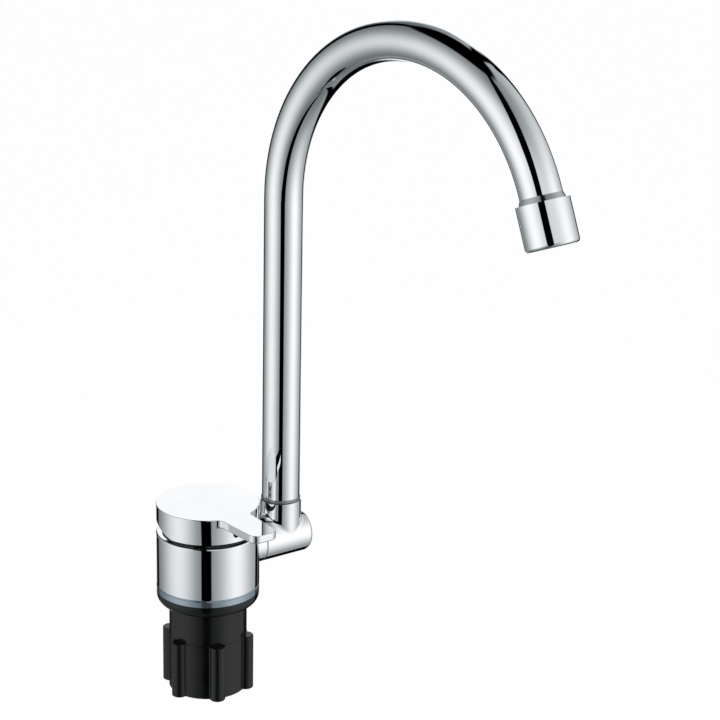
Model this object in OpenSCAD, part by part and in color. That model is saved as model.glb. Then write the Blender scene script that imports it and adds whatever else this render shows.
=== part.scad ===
// Folding caravan tap: a single-lever deck mixer with a hooked spout on a folding side elbow.
// Millimetres, +Z up. The origin is on the body's axis at the deck surface.
// The lever points to -Y and the elbow stands out to +X. The spout's hook is turned a little from -Y.

/* [Cartridge] */
// Outside diameter of the cartridge housing
cartridge_d = 34; // [33:0.5:38]
// Wall of the cartridge housing
housing_wall = 2.2; // [1.8:0.1:2.6]
// Thickness of the cartridge base plate
cartridge_base_t = 3.5; // [3:0.1:5]
// Thickness of the fixed ceramic disc
fixed_disc_t = 3; // [2.5:0.1:4]
// Thickness of the moving ceramic disc
moving_disc_t = 2.5; // [2:0.1:3.5]
// Thickness of the plate that drives the moving disc
driver_t = 2.65; // [2.4:0.05:3.2]
// Thickness of the carrier's flange
carrier_flange_t = 2; // [1.6:0.1:3]
// Diameter of the carrier's neck
carrier_neck_d = 21; // [20:0.2:22]
// Thickness of the shoulder that holds the carrier down
shoulder_t = 1.5; // [1.2:0.1:2.5]
// Height of the sealing flange round the housing
sealing_flange_h = 3.5; // [3.2:0.1:5]
// Wall of the housing's neck
neck_wall = 2; // [1.5:0.1:2.5]
// Diameter of each port through the discs
port_d = 6; // [5:0.2:6.4]
// Depth of the mixing pocket under the moving disc
mixing_pocket_depth = 1.2; // [0.8:0.1:1.5]

/* [Lever mechanism] */
// Height of the tilt pin above the cartridge's shoulder
tilt_rise = 2; // [1.8:0.1:3]
// Diameter of the tilt pin
tilt_pin_d = 2.5; // [2:0.1:2.8]
// Full tilt of the lever in degrees
lift_angle = 17; // [12:0.5:17]
// Width of the stem across the tilt
stem_w = 7; // [6:0.2:7.4]
// Thickness of the stem along the tilt
stem_t = 6; // [5:0.2:6.4]
// Diameter of the ball at the stem's lower end
stem_ball_d = 3.6; // [3.2:0.1:4]
// Diameter of the stem's lower neck
stem_neck_d = 3; // [2.4:0.1:3.2]

/* [Body] */
// Width of the water space round the cartridge
chamber_w = 3.5; // [3:0.1:5]
// Wall of the chromed body
body_wall = 3.5; // [3:0.1:5]
// Thickness of the body's floor, from its underside to the cartridge seat
floor_t = 6.8; // [6.5:0.1:8]
// Height of the ring nut that holds the cartridge
retaining_nut_h = 2.8; // [2.4:0.1:4]
// Width of the ring nut's spanner notches
notch_w = 3.2; // [2.5:0.1:4]
// Number of spanner notches
notch_count = 4; // [3:1:8]
// Rounding of the body's outer edges
body_round = 0.6; // [0.3:0.1:1]
// Clearance between the dome cover and the cartridge's neck
dome_clear = 1.4; // [1:0.1:2]
// Wall of the dome cover
dome_t = 1.2; // [1:0.1:1.5]
// Diameter of the dome's opening for the stem
dome_opening_d = 22; // [21:0.5:24]

/* [Handle] */
// Gap between the body and the handle cap
cap_gap = 2; // [1.5:0.1:3]
// Height of the handle cap
cap_h = 12; // [12:0.1:14]
// Side wall of the handle cap
cap_wall = 3.2; // [2.5:0.1:3.6]
// Thickness of the handle cap's top
cap_top_t = 3; // [2:0.1:3.2]
// Length of the lever past the cap
lever_length = 24; // [20:0.1:32]
// Width of the lever where it leaves the cap
lever_root_w = 15.6; // [15:0.2:20]
// Width of the lever at its tip
lever_tip_w = 13.4; // [12:0.2:15]
// Thickness of the lever
lever_t = 3.8; // [3:0.1:5]
// Radius of the lever's tip corners
lever_corner_r = 4; // [2:0.1:5]
// Radius of the fillets between lever and cap
lever_fillet_r = 3.5; // [2:0.1:5]
// Start of the cap's rear relief cut, ahead of the axis
relief_start = 5.5; // [5:0.1:7]
// Slope of the cap's rear relief cut in degrees
relief_angle = 17.5; // [17:0.1:18.5]
// Diameter of the boss that holds the stem
boss_d = 13.6; // [12.4:0.1:14]
// Diameter of the grub screw
grub_d = 3; // [2:0.1:3]
// Length of the grub screw
grub_length = 5; // [4:0.1:6]

/* [Folding elbow] */
// Height of the folding axis above the body's underside
fold_rise = 14.3; // [12:0.1:14.6]
// Diameter of the elbow's barrel
barrel_d = 20.4; // [20:0.1:22]
// Length of the collar that carries the elbow
collar_length = 2.6; // [2:0.1:8]
// Distance from the collar's face to the spout axis
elbow_near = 14.4; // [13:0.1:18]
// Distance from the spout axis to the elbow's far end
elbow_far = 12.6; // [12.5:0.1:16]
// Rounding of the elbow's far end
elbow_end_round = 2.2; // [0.5:0.1:2.4]
// Outside diameter of the elbow's upright socket
socket_d = 19.5; // [19:0.1:20]
// Height of the socket's rim above the folding axis
socket_rise = 18.5; // [18.4:0.1:26]
// Diameter of the pivot spindle's journal
journal_d = 15; // [14.6:0.1:15.2]
// Diameter of the spindle's threaded end
spindle_thread_d = 14; // [13.4:0.1:14.4]
// Bore of the pivot spindle
spindle_bore = 9; // [8:0.1:9.4]
// Thickness of the spindle's head
spindle_head_t = 2.2; // [1.6:0.1:3]
// Overhang of the spindle's head past its journal
spindle_head_over = 1.2; // [0.9:0.1:1.3]
// Thickness of the thrust washers
thrust_washer_t = 0.6; // [0.4:0.1:1]
// Thickness of the plug in the elbow's far end
end_plug_t = 2.4; // [2:0.1:3]
// Diameter of the spindle's cross ports
cross_port_d = 3.6; // [3:0.1:4]

/* [Spout] */
// Outside diameter of the spout tube
tube_d = 18; // [17.6:0.1:18.4]
// Wall of the spout tube
tube_wall = 1; // [0.8:0.1:1.2]
// Length of the spout's upright run
tube_straight = 144.1; // [100:0.1:200]
// Bend radius of the spout at its centre line
bend_r = 81.1; // [50:0.1:100]
// Angle of the spout's bend in degrees
bend_angle = 158.5; // [120:0.5:175]
// Angle of the hook from straight ahead towards the elbow, at rest
swivel_turn = 5.5; // [0:0.5:20]
// Outside diameter of the slip ring under the tube
slip_ring_d = 18.6; // [18.4:0.1:18.9]
// Thickness of the slip ring under the tube
slip_ring_t = 1.6; // [1.2:0.1:2.5]
// Diameter of the tail that turns in the socket
tail_d = 15; // [14.6:0.1:15.2]
// Bore of the tail
tail_bore = 10.4; // [9:0.1:10.6]
// Length of the tail inside the tube
tail_grip = 9; // [6:0.5:14]
// Thickness of the O-rings on the spindle and the tail
o_ring_t = 1.8; // [1.6:0.1:2]
// Height of the snap ring
snap_ring_t = 1; // [0.8:0.1:1.2]

/* [Outlet] */
// Outside diameter of the aerator housing
nozzle_d = 22.8; // [22.2:0.1:25]
// Length of the aerator housing
nozzle_length = 18.5; // [17:0.1:22]
// Wall of the aerator housing at its thread
nozzle_wall = 1.4; // [1:0.1:1.6]
// Length of the flared neck above the housing
neck_length = 2.4; // [1.5:0.1:4]
// Diameter of the neck where it meets the housing
neck_d = 19.8; // [19.2:0.1:19.8]
// Bore of the neck
neck_bore = 13; // [11:0.1:14]
// Length of the neck's thread in the housing
neck_thread = 6.6; // [5:0.1:7]
// Thickness of the aerator's washer
aerator_washer_t = 1.8; // [1.2:0.1:2]
// Height of the aerator insert
aerator_insert_h = 5.7; // [4.5:0.1:6]
// Diameter of the holes in the aerator's screen
screen_hole_d = 1.4; // [1:0.1:1.6]

/* [Deck fixing] */
// Height of the base ring
base_ring_h = 3.2; // [3:0.1:5]
// Width of the base ring's sealing lip
lip_w = 0.7; // [0.6:0.1:1]
// Depth of the recess inside the lip
lip_depth = 0.6; // [0.5:0.1:0.7]
// Width of the deck seal
deck_seal_w = 3.8; // [3:0.1:4]
// Depth of the deck seal's groove
deck_seal_depth = 1.4; // [1.2:0.1:1.6]
// Diameter of the threaded shank
shank_d = 32; // [31:0.1:33]
// Wall of the shank
shank_wall = 3.4; // [3:0.1:3.6]
// Length of the shank below the body
shank_length = 49.7; // [46:0.1:80]
// Length of the shank inside the body
shank_grip = 4; // [3:0.1:4.2]
// Drop of the inlet boss below the body
inlet_drop = 5.2; // [2:0.1:12]
// Tapping diameter of each hose inlet
inlet_d = 9; // [8.6:0.1:9.2]
// Distance between the two inlets
inlet_pitch = 12; // [11.8:0.1:12.6]
// Offset of the inlets towards the lever
inlet_ahead = 2; // [1:0.1:2.4]
// Thickness of the rubber clamp washer
clamp_washer_t = 6.5; // [5.5:0.1:8]
// Rounding of the clamp washer's lower edge
clamp_washer_round = 4.8; // [2:0.1:5]
// Diameter of the clamp sleeve
sleeve_d = 36.4; // [35.4:0.1:37]
// Height of the clamp sleeve
sleeve_h = 15.6; // [12:0.1:20]
// Outside diameter of the fixing nut
fixing_nut_d = 36.8; // [36:0.1:38]
// Height of the fixing nut
fixing_nut_h = 27; // [20:0.1:30]
// Radius of the fixing nut's grip ribs
rib_r = 3.6; // [2.4:0.1:4]
// Number of grip ribs
rib_count = 6; // [4:1:10]
// Angle of the first rib from the elbow's side
rib_turn = 11; // [0:1:59]

/* [Hidden] */
$fn = 96;

// Clearances
film = 0.05;
run_clear = 0.1;
fit_clear = 0.2;
free_clear = 0.5;
thread_clear = 0.1;
over = 1;

// Radii of the body and the cartridge, from the inside out
cart_r = cartridge_d / 2;
cavity_r = cart_r - housing_wall;
pocket_r = cart_r + chamber_w;
body_r = pocket_r + body_wall;
fixed_r = cavity_r - fit_clear;
carrier_flange_clear = 0.8;
carrier_flange_r = cavity_r - carrier_flange_clear;
carrier_neck_r = carrier_neck_d / 2;
neck_bore_r = carrier_neck_r + run_clear;
neck_r = neck_bore_r + neck_wall;
sealing_flange_r = pocket_r - fit_clear;

// Levels of the cartridge, from the deck up
z_body = base_ring_h;
z_seat = z_body + floor_t;
z_fixed = z_seat + cartridge_base_t;
z_moving = z_fixed + fixed_disc_t + film;
z_driver = z_moving + moving_disc_t;
z_driver_top = z_driver + driver_t;
z_carrier = z_driver_top + free_clear;
z_carrier_flange = z_carrier + carrier_flange_t;
carrier_play = 0.3;
z_ceiling = z_carrier_flange + carrier_play;
z_shoulder = z_ceiling + shoulder_t;
z_nut = z_shoulder + retaining_nut_h;
z_rim = z_nut + fit_clear;

// Levels and travel of the lever mechanism
ball_r = stem_ball_d / 2;
ball_clear = 0.15;
z_tilt = z_shoulder + tilt_rise;
z_ball = z_driver + ball_r + ball_clear;
tilt_arm = z_tilt - z_ball;
disc_travel = tilt_arm * lift_angle * PI / 180;
slide_clear = 0.7;
moving_r = cavity_r - disc_travel - slide_clear;
rail_bite = 2;
driver_flat = moving_r - rail_bite;
carrier_over_pin = 2.2;
z_carrier_top = z_tilt + carrier_over_pin;
neck_below_carrier = 1;
z_neck_top = z_carrier_top - neck_below_carrier;
stem_bar_drop = 3;
slot_play = 1.4;
slot_half_t = stem_t / 2 + slot_play;

// Levels and outline of the handle
z_cap = z_rim + cap_gap;
z_cap_top = z_cap + cap_h;
z_cap_inside = z_cap_top - cap_top_t;
cap_inner_r = body_r - cap_wall;
boss_lift = 2.8;
z_boss = z_carrier_top + boss_lift;
grub_rise = 2;
z_grub = z_boss + grub_rise;
z_stem_top = z_cap_inside - free_clear;
lever_reach = body_r + lever_length;
lever_root_y = sqrt(body_r * body_r - lever_root_w * lever_root_w / 4);
lever_taper = atan((lever_root_w - lever_tip_w) / 2 / (lever_reach - lever_root_y));

// Dome cover over the cartridge
dome_rest = 0.8;
dome_flange_r = pocket_r + dome_rest;
dome_flange_t = 0.5;
z_dome = z_rim + dome_flange_t;
dome_sink = 15;
dome_centre = z_dome - dome_sink;
dome_r = norm([neck_r, z_neck_top - dome_centre]) + dome_clear + dome_t;

// Folding elbow
z_fold = z_body + fold_rise;
barrel_r = barrel_d / 2;
journal_r = journal_d / 2;
journal_bore_r = journal_r + film;
head_r = journal_r + spindle_head_over;
head_bore_r = head_r + fit_clear;
x_seam = body_r + collar_length;
x_elbow = x_seam + thrust_washer_t + film;
x_spout = x_seam + elbow_near;
x_elbow_end = x_spout + elbow_far;
x_plug = x_elbow_end - end_plug_t;
x_head_end = x_plug - free_clear;
x_head = x_head_end - spindle_head_t;
x_shoulder = x_head - thrust_washer_t - film;
spindle_sink = 2.4;
x_spindle = body_r - spindle_sink;
groove_half = 3;
groove_depth = 1.1;
groove_r = journal_bore_r + groove_depth;
socket_r = socket_d / 2;
z_socket = z_fold + socket_rise;
socket_passage_r = 4.1;

// Spout
tube_r = tube_d / 2;
tube_bore_r = tube_r - tube_wall;
tail_r = tail_d / 2;
tail_bore_in_socket_r = tail_r + film;
z_slip = z_socket + slip_ring_t;
z_tube = z_slip + film;
z_bend = z_tube + tube_straight;
z_socket_floor = z_fold + head_bore_r + free_clear;
z_tail = z_socket_floor + free_clear;
o_ring_r = o_ring_t / 2;
o_ring_play = 0.4;
o_ring_groove_w = o_ring_t + o_ring_play;
o_ring_squeeze = 0.05;
snap_ring_out = 0.7;
snap_ring_in = 0.6;
snap_ring_up = 0.6;
z_snap = z_tail + snap_ring_up;
ring_land = 0.8;
ring_step = ring_land + o_ring_groove_w / 2;
tail_o_rings = [z_snap + snap_ring_t + ring_step, z_socket - ring_step];
near_ring_in = 3;
far_ring_back = 1.5;
spindle_o_rings = [x_elbow + near_ring_in, x_shoulder - far_ring_back];

// Outlet, measured along the outlet's own axis from the tube's cut end
nozzle_r = nozzle_d / 2;
nozzle_thread_r = nozzle_r - nozzle_wall;
neck_thread_r = nozzle_thread_r - thread_clear;
nozzle_start = neck_length;
nozzle_end = nozzle_start + nozzle_length;
neck_end = nozzle_start + neck_thread;
insert_start = neck_end + aerator_washer_t;
insert_end = insert_start + aerator_insert_h;
nozzle_lip_w = 1.2;
nozzle_round = 1.4;
neck_plug = 5;
neck_plug_r = tube_bore_r - film - neck_plug * neck_plug / (2 * bend_r);
screen_t = 1.2;
screen_rings = [[0, 1], [2.6, 6], [5.2, 12], [7.6, 18]];

// Deck fixing
shank_r = shank_d / 2;
shank_bore_r = shank_r - shank_wall;
shank_hole_r = shank_r + free_clear;
z_shank = z_body - shank_length;
z_inlet = z_body - inlet_drop;
inlet_boss_clear = 0.4;
inlet_boss_r = shank_bore_r - inlet_boss_clear;
lip_r = body_r - lip_w;
seal_r = (lip_r + shank_hole_r) / 2;
seal_drop = 0.35;
z_seal = lip_depth - seal_drop;
z_washer = z_seal - film;
clamp_washer_r = lip_r - fit_clear;
z_washer_low = z_washer - clamp_washer_t;
z_sleeve = z_washer_low - film;
z_sleeve_low = z_sleeve - sleeve_h;
sleeve_r = sleeve_d / 2;
z_fixing_nut = z_sleeve_low - film;
z_fixing_nut_low = z_fixing_nut - fixing_nut_h;
fixing_nut_r = fixing_nut_d / 2;
nut_thread_r = shank_r + thread_clear;
inlet_x = inlet_pitch / 2;
inlet_seal_lap = 0.7;
inlet_seal_r = inlet_d / 2 + inlet_seal_lap;
inlet_seal_t = 1.2;

// A ring between two radii, standing on z
module ring(outer, inner, z, h) {
    translate([0, 0, z])
        difference() {
            cylinder(r = outer, h = h);
            translate([0, 0, -over]) cylinder(r = inner, h = h + 2 * over);
        }
}

// A torus ring of round section at height z
module o_ring(mid, section, z) {
    translate([0, 0, z])
        rotate_extrude() translate([mid, 0]) circle(r = section);
}

// A half-profile rectangle from the axis with its two outer corners rounded
module round_profile(r, h, low_round, high_round) {
    union() {
        translate([0, low_round]) square([r, h - low_round - high_round]);
        square([r - low_round, h - high_round]);
        translate([0, low_round]) square([r - high_round, h - low_round]);
        translate([r - low_round, low_round])
            intersection() {
                circle(r = low_round);
                translate([-low_round - over, -low_round - over])
                    square([2 * (low_round + over), low_round + 2 * over]);
            }
        translate([r - high_round, h - high_round]) circle(r = high_round);
    }
}

// A solid of revolution with rounded rims, standing on z
module round_drum(r, z, h, low_round, high_round) {
    translate([0, 0, z])
        rotate_extrude() round_profile(r, h, low_round, high_round);
}

// Lays children, built along +Z, along the folding axis from x
module on_fold_axis(x) {
    translate([x, 0, z_fold]) rotate([0, 90, 0]) children();
}

// Stands children on the spout's axis, turned with the hook
module on_spout_axis() {
    translate([x_spout, 0, 0]) rotate([0, 0, swivel_turn]) children();
}

// Puts children at the tube's cut end, with +Z along the water's way out
module at_outlet() {
    bend_y = -bend_r * (1 - cos(bend_angle));
    bend_z = z_bend + bend_r * sin(bend_angle);
    on_spout_axis() translate([0, bend_y, bend_z]) rotate([bend_angle, 0, 0]) children();
}

// Two shapes, one for each water inlet
module at_inlets() {
    for (side = [-1, 1]) translate([side * inlet_x, -inlet_ahead, 0]) children();
}

module valve_body() {
    color("gainsboro")
        difference() {
            union() {
                round_drum(body_r, z_body, z_rim - z_body, body_round, body_round);
                on_fold_axis(0) cylinder(r = barrel_r, h = x_seam);
                translate([0, 0, z_inlet]) cylinder(r = inlet_boss_r, h = inlet_drop + over);
            }
            translate([0, 0, z_seat]) cylinder(r = pocket_r, h = z_rim);
            difference() {
                translate([0, 0, z_body - over]) cylinder(r = shank_r + film, h = shank_grip + over);
                translate([0, 0, z_inlet]) cylinder(r = inlet_boss_r, h = z_seat);
            }
            at_inlets()
                translate([0, 0, z_inlet - over])
                    cylinder(d = inlet_d, h = z_seat - z_inlet + 2 * over);
            on_fold_axis(cart_r) cylinder(d = spindle_bore, h = x_seam);
            on_fold_axis(x_spindle) cylinder(d = spindle_thread_d + thread_clear, h = x_seam);
        }
}

module base_ring() {
    shadow_line = 0.4;
    color("lightslategray")
        difference() {
            ring(body_r, shank_hole_r, 0, base_ring_h);
            ring(body_r + over, body_r - shadow_line, base_ring_h - shadow_line, base_ring_h);
            translate([0, 0, -over]) cylinder(r = lip_r, h = over + lip_depth);
            ring(seal_r + deck_seal_w / 2, seal_r - deck_seal_w / 2, 0, lip_depth + deck_seal_depth);
        }
}

module deck_seal() {
    color("dimgray")
        ring(
            seal_r + deck_seal_w / 2 - film,
            seal_r - deck_seal_w / 2 + film,
            z_seal,
            lip_depth + deck_seal_depth - z_seal
        );
}

module shank() {
    color("dimgray")
        ring(shank_r, shank_bore_r, z_shank, shank_length + shank_grip);
}

module clamp_washer() {
    color("black")
        difference() {
            round_drum(clamp_washer_r, z_washer_low, clamp_washer_t, clamp_washer_round, film);
            translate([0, 0, z_washer_low - over])
                cylinder(r = shank_hole_r, h = clamp_washer_t + 2 * over);
        }
}

module clamp_sleeve() {
    color("black") ring(sleeve_r, shank_hole_r, z_sleeve_low, sleeve_h);
}

module fixing_nut() {
    color("black")
        translate([0, 0, z_fixing_nut_low])
            linear_extrude(height = fixing_nut_h)
                difference() {
                    union() {
                        circle(r = fixing_nut_r);
                        for (i = [0:rib_count - 1])
                            rotate(rib_turn + i * 360 / rib_count)
                                translate([fixing_nut_r, 0]) circle(r = rib_r);
                    }
                    circle(r = nut_thread_r);
                }
}

module inlet_seals() {
    color("black")
        at_inlets()
            ring(
                inlet_seal_r,
                port_d / 2,
                z_seat,
                inlet_seal_t
            );
}

module cartridge_base() {
    outlet_w = 9;
    outlet_floor = 0.8;
    color("whitesmoke")
        difference() {
            translate([0, 0, z_seat]) cylinder(r = cart_r, h = cartridge_base_t);
            at_inlets() translate([0, 0, z_seat - over]) cylinder(d = port_d, h = z_seat);
            at_inlets()
                translate([0, 0, z_seat - over])
                    cylinder(r = inlet_seal_r + film, h = inlet_seal_t + over);
            translate([-outlet_w / 2, port_d / 2, z_seat + outlet_floor])
                cube([outlet_w, cart_r, cartridge_base_t]);
        }
}

// The outlet port lies behind the two inlets
module disc_ports(z, h) {
    outlet_behind = 7;
    at_inlets() translate([0, 0, z]) cylinder(d = port_d, h = h);
    translate([0, outlet_behind, z]) cylinder(d = port_d, h = h);
}

module fixed_disc() {
    color("white")
        difference() {
            translate([0, 0, z_fixed]) cylinder(r = fixed_r, h = fixed_disc_t);
            disc_ports(z_fixed - over, fixed_disc_t + 2 * over);
        }
}

module moving_disc() {
    closed_lap = 0.7;
    pocket_front = port_d / 2 - inlet_ahead + closed_lap;
    pocket_rim = 2;
    color("ivory")
        difference() {
            translate([0, 0, z_moving]) cylinder(r = moving_r, h = moving_disc_t);
            intersection() {
                translate([0, 0, z_moving - over])
                    cylinder(r = moving_r - pocket_rim, h = over + mixing_pocket_depth);
                translate([-body_r, pocket_front, 0]) cube([2 * body_r, body_r, z_rim]);
            }
        }
}

module disc_driver() {
    color("lightgray")
        difference() {
            intersection() {
                translate([0, 0, z_driver]) cylinder(r = moving_r, h = driver_t);
                translate([-driver_flat, -body_r, z_driver])
                    cube([2 * driver_flat, 2 * body_r, driver_t]);
            }
            translate([0, 0, z_driver - over])
                cylinder(r = ball_r + ball_clear, h = driver_t + 2 * over);
        }
}

// Depth and level of the O-ring groove round the cartridge
cart_ring_r = 1;
cart_ring_mid = pocket_r - film - cart_ring_r;
z_cart_ring = z_shoulder - sealing_flange_h / 2;

module cartridge_housing() {
    color("whitesmoke")
        difference() {
            union() {
                translate([0, 0, z_fixed]) cylinder(r = cart_r, h = z_shoulder - z_fixed);
                translate([0, 0, z_shoulder - sealing_flange_h])
                    cylinder(r = sealing_flange_r, h = sealing_flange_h);
                translate([0, 0, z_shoulder - over])
                    cylinder(r = neck_r, h = z_neck_top - z_shoulder + over);
            }
            translate([0, 0, z_fixed - over]) cylinder(r = cavity_r, h = z_ceiling - z_fixed + over);
            translate([0, 0, z_fixed]) cylinder(r = neck_bore_r, h = z_neck_top);
            ring(
                pocket_r + over,
                cart_ring_mid - cart_ring_r,
                z_cart_ring - cart_ring_r - run_clear,
                2 * (cart_ring_r + run_clear)
            );
        }
}

module cartridge_o_ring() {
    color("black") o_ring(cart_ring_mid, cart_ring_r, z_cart_ring);
}

module carrier() {
    rail_play = 0.25;
    z_rail = z_driver + rail_play;
    color("silver")
        difference() {
            union() {
                translate([0, 0, z_carrier])
                    cylinder(r = carrier_flange_r, h = carrier_flange_t);
                translate([0, 0, z_carrier])
                    cylinder(r = carrier_neck_r, h = z_carrier_top - z_carrier);
                // two rails under the flange guide the driver plate
                difference() {
                    translate([0, 0, z_rail])
                        cylinder(r = carrier_flange_r, h = z_carrier - z_rail);
                    translate([-driver_flat - run_clear, -body_r, 0])
                        cube([2 * (driver_flat + run_clear), 2 * body_r, z_carrier]);
                }
            }
            translate([-stem_w / 2 - run_clear, -slot_half_t, 0])
                cube([stem_w + 2 * run_clear, 2 * slot_half_t, z_cap]);
            translate([-body_r, 0, z_tilt])
                rotate([0, 90, 0]) cylinder(d = tilt_pin_d, h = 2 * body_r);
        }
}

module stem_pin() {
    pin_inset = 1;
    pin_length = 2 * (carrier_neck_r - pin_inset);
    color("lightsteelblue")
        translate([-pin_length / 2, 0, z_tilt])
            rotate([0, 90, 0]) cylinder(d = tilt_pin_d, h = pin_length);
}

module stem() {
    z_bar = z_tilt - stem_bar_drop;
    color("burlywood")
        difference() {
            union() {
                translate([-stem_w / 2, -stem_t / 2, z_bar])
                    cube([stem_w, stem_t, z_stem_top - z_bar]);
                translate([0, 0, z_ball]) cylinder(d = stem_neck_d, h = z_bar - z_ball + over);
                translate([0, 0, z_ball]) sphere(r = ball_r);
            }
            translate([-body_r, 0, z_tilt])
                rotate([0, 90, 0]) cylinder(d = tilt_pin_d + 2 * film, h = 2 * body_r);
        }
}

module retaining_nut() {
    notch_depth = retaining_nut_h / 2;
    neck_clear = 0.8;
    notch_reach = 2.2;
    inner_r = neck_r + neck_clear;
    color("goldenrod")
        difference() {
            ring(pocket_r - thread_clear, inner_r, z_shoulder, retaining_nut_h);
            for (i = [0:notch_count - 1])
                rotate([0, 0, i * 360 / notch_count])
                    translate([0, -notch_w / 2, z_nut - notch_depth])
                        cube([inner_r + notch_reach, notch_w, retaining_nut_h]);
        }
}

module dome_cover() {
    skirt_w = 1.3;
    color("gainsboro")
        union() {
            rotate_extrude()
                difference() {
                    union() {
                        translate([0, z_rim]) square([dome_flange_r, dome_flange_t]);
                        intersection() {
                            translate([0, dome_centre]) circle(r = dome_r);
                            translate([0, z_rim]) square([dome_r, dome_r]);
                        }
                    }
                    translate([0, dome_centre]) circle(r = dome_r - dome_t);
                    translate([0, z_rim - over]) square([dome_opening_d / 2, dome_r]);
                    translate([-dome_r, z_rim - over]) square([dome_r, dome_r]);
                }
            // a short skirt drops into the body's mouth and rests on the ring nut
            ring(pocket_r - fit_clear, pocket_r - fit_clear - skirt_w, z_nut, dome_flange_t);
        }
}

// Right-hand half of the lever's plan: straight side, round tip corner and fillet to the cap
module lever_half_plan() {
    corner_run = lever_corner_r / tan(45 + lever_taper / 2);
    corner_x = lever_tip_w / 2 - corner_run;
    side = [sin(lever_taper), cos(lever_taper)];
    out = [cos(lever_taper), -sin(lever_taper)];
    tip = [lever_tip_w / 2, -lever_reach];
    corner = [corner_x, -lever_reach + lever_corner_r];
    reach_out = out * tip + lever_fillet_r;
    fillet_d = body_r + lever_fillet_r;
    fillet = out * reach_out - side * sqrt(fillet_d * fillet_d - reach_out * reach_out);
    on_side = fillet - out * lever_fillet_r;
    on_cap = fillet * (body_r / fillet_d);
    polygon([
        [0, 0], [0, -lever_reach], [corner_x, -lever_reach], corner, tip + side * corner_run, on_side
    ]);
    translate(corner) circle(r = lever_corner_r);
    difference() {
        polygon([[0, 0], on_side, fillet, on_cap]);
        translate(fillet) circle(r = lever_fillet_r);
    }
}

module handle() {
    grub_access_play = 0.6;
    grub_access_d = grub_d + grub_access_play;
    color("gainsboro")
        difference() {
            union() {
                difference() {
                    translate([0, 0, z_cap]) cylinder(r = body_r, h = cap_h);
                    translate([0, 0, z_cap - over])
                        cylinder(r = cap_inner_r, h = z_cap_inside - z_cap + over);
                    translate([-2 * body_r, -relief_start, z_cap])
                        rotate([relief_angle, 0, 0])
                            translate([0, 0, -2 * body_r]) cube([4 * body_r, 4 * body_r, 2 * body_r]);
                }
                difference() {
                    translate([0, 0, z_cap_top - lever_t])
                        linear_extrude(height = lever_t) {
                            lever_half_plan();
                            mirror([1, 0]) lever_half_plan();
                        }
                    translate([0, 0, z_cap]) cylinder(r = cap_inner_r, h = z_cap_inside - z_cap);
                }
                translate([0, 0, z_boss]) cylinder(d = boss_d, h = z_cap_top - z_boss);
            }
            translate([-stem_w / 2 - film, -stem_t / 2 - film, z_boss - over])
                cube([stem_w + 2 * film, stem_t + 2 * film, z_cap_inside - z_boss + over]);
            translate([0, 0, z_grub]) rotate([90, 0, 0]) cylinder(d = grub_d, h = body_r);
            translate([0, -boss_d / 2, z_grub])
                rotate([90, 0, 0]) cylinder(d = grub_access_d, h = 2 * body_r);
        }
}

module grub_screw() {
    key_d = grub_d / 2;
    key_depth = grub_length / 3;
    color("dimgray")
        translate([0, -stem_t / 2, z_grub])
            rotate([90, 0, 0])
                difference() {
                    cylinder(d = grub_d - film, h = grub_length);
                    translate([0, 0, grub_length - key_depth])
                        cylinder(d = key_d, h = key_depth + over, $fn = 6);
                }
}

module pivot_spindle() {
    blind = 2;
    bore_end = x_spout + cross_port_d / 2 + blind;
    color("goldenrod")
        difference() {
            union() {
                on_fold_axis(x_spindle) cylinder(d = spindle_thread_d, h = x_seam - x_spindle);
                on_fold_axis(x_seam) cylinder(r = journal_r, h = x_head - x_seam);
                on_fold_axis(x_head) cylinder(r = head_r, h = spindle_head_t);
            }
            on_fold_axis(x_spindle - over) cylinder(d = spindle_bore, h = bore_end - x_spindle + over);
            for (x = spindle_o_rings)
                on_fold_axis(x)
                    ring(
                        journal_r + over,
                        journal_r - o_ring_t,
                        -o_ring_groove_w / 2,
                        o_ring_groove_w
                    );
            for (turn = [0, 90])
                translate([x_spout, 0, z_fold])
                    rotate([turn, 0, 0])
                        cylinder(d = cross_port_d, h = 2 * journal_d, center = true);
        }
}

module pivot_o_rings() {
    color("black")
        for (x = spindle_o_rings)
            on_fold_axis(x) o_ring(journal_r - o_ring_r, o_ring_r - o_ring_squeeze / 2, 0);
}

module pivot_washers() {
    color("dimgray") {
        on_fold_axis(x_seam) ring(barrel_r - fit_clear, journal_r + film, 0, thrust_washer_t);
        on_fold_axis(x_head - thrust_washer_t) ring(head_r, journal_r + film, 0, thrust_washer_t);
    }
}

module elbow() {
    color("gainsboro")
        difference() {
            union() {
                on_fold_axis(x_elbow)
                    round_drum(barrel_r, 0, x_elbow_end - x_elbow, film, elbow_end_round);
                on_spout_axis() translate([0, 0, z_fold]) cylinder(r = socket_r, h = socket_rise);
            }
            on_fold_axis(x_elbow - over)
                cylinder(r = journal_bore_r, h = x_shoulder - x_elbow + 2 * over);
            on_fold_axis(x_shoulder) cylinder(r = head_bore_r, h = x_elbow_end);
            on_fold_axis(x_spout - groove_half) cylinder(r = groove_r, h = 2 * groove_half);
            on_spout_axis() {
                translate([0, 0, z_fold]) cylinder(r = socket_passage_r, h = socket_rise);
                translate([0, 0, z_socket_floor]) cylinder(r = tail_bore_in_socket_r, h = socket_rise);
                ring(
                    tail_r + snap_ring_out + run_clear,
                    tail_r - over,
                    z_snap - run_clear,
                    snap_ring_t + 2 * run_clear
                );
            }
        }
}

module elbow_end_plug() {
    color("silver")
        on_fold_axis(x_plug) round_drum(head_bore_r - film, 0, end_plug_t, film, elbow_end_round / 2);
}

module slip_ring() {
    color("gray")
        on_spout_axis() ring(slip_ring_d / 2, tail_r + run_clear, z_socket, slip_ring_t);
}

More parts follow.
